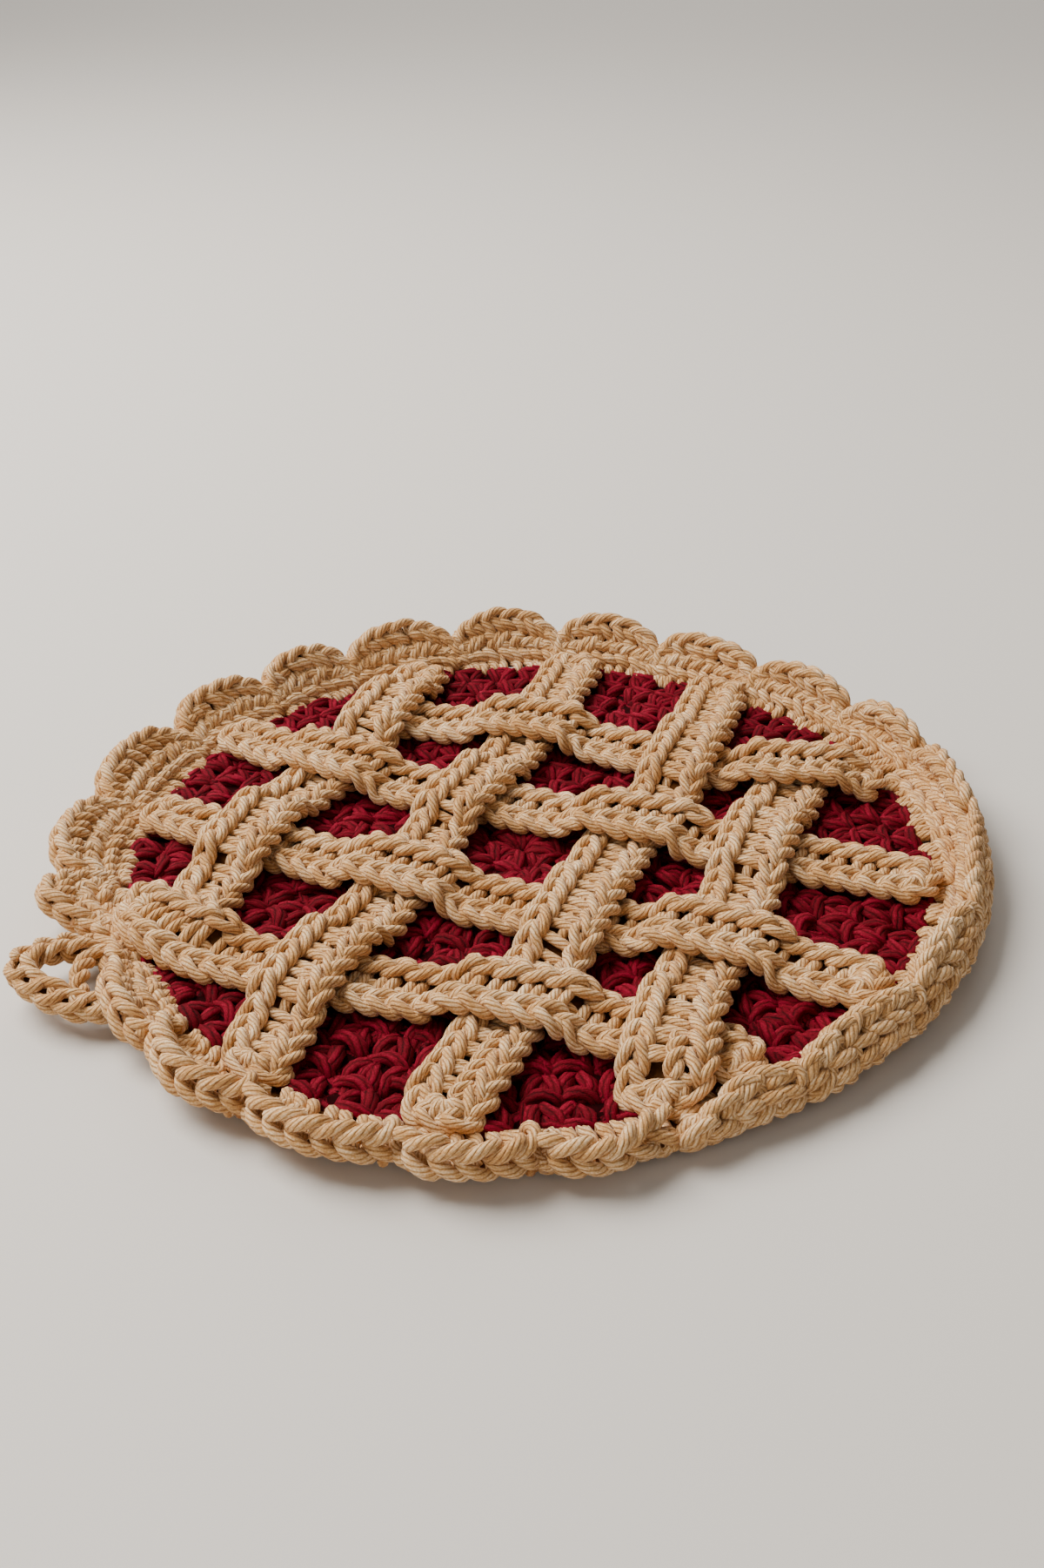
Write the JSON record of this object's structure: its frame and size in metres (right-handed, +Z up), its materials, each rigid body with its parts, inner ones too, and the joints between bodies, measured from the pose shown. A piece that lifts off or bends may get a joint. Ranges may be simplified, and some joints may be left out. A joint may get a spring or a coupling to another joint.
{
  "type": "crocheted trivet",
  "caption": "Thick round crocheted trivet with a red disc, a woven lattice of tan strips on top, a scalloped shell rim and a small hanging loop.",
  "frame": {"origin": "middle of the disc's flat underside, which rests on the table", "axes": "+Z up through the trivet's thickness, +Y towards the far side, +X to the right; the hanging loop is at the left, a little below -X"},
  "size_m": [0.1908, 0.1927, 0.0159],
  "materials": {
    "red_yarn": "matt",
    "tan_yarn": "matt"
  },
  "bodies": {
    "root": {"red_base": "red_yarn", "lattice_across_1": "tan_yarn", "lattice_across_2": "tan_yarn", "lattice_across_3": "tan_yarn", "lattice_across_4": "tan_yarn", "lattice_along_1": "tan_yarn", "lattice_along_2": "tan_yarn", "lattice_along_3": "tan_yarn", "lattice_along_4": "tan_yarn", "shell_rim": "tan_yarn", "hanging_loop": "tan_yarn"}
  },
  "joints": []
}
